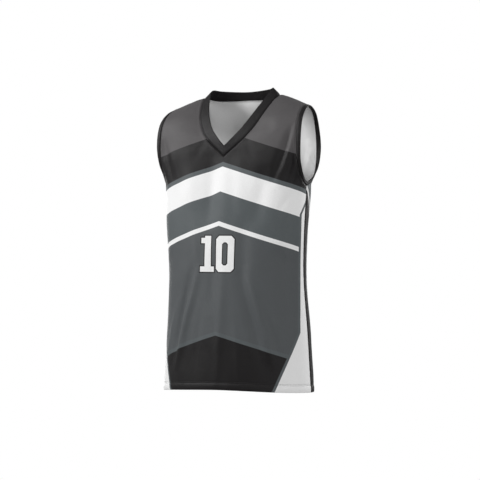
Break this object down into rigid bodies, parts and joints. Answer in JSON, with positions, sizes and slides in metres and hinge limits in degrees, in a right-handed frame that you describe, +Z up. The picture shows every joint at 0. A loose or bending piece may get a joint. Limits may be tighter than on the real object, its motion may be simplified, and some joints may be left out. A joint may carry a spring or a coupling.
{
  "type": "basketball jersey",
  "caption": "Sleeveless V-neck basketball jersey in smooth knit, hollow in its worn shape, with sewn bands at neck and armholes and an open hem.",
  "frame": {"origin": "midway between the neck ends of the two shoulder seams, where the wearer's shoulders hold the jersey up", "axes": "+Z up, from the hem to the neck; -Y the way the front faces; +X to the wearer's left"},
  "size_m": [0.402, 0.2238, 0.7413],
  "materials": {
    "panel_knit": "smooth polyester knit, soft sheen, printed in bands",
    "band_knit": "smooth polyester knit, doubled"
  },
  "bodies": {
    "root": {"front_panel": "panel_knit", "back_panel": "panel_knit", "neckband": "band_knit", "armband_left": "band_knit", "armband_right": "band_knit"}
  },
  "joints": []
}
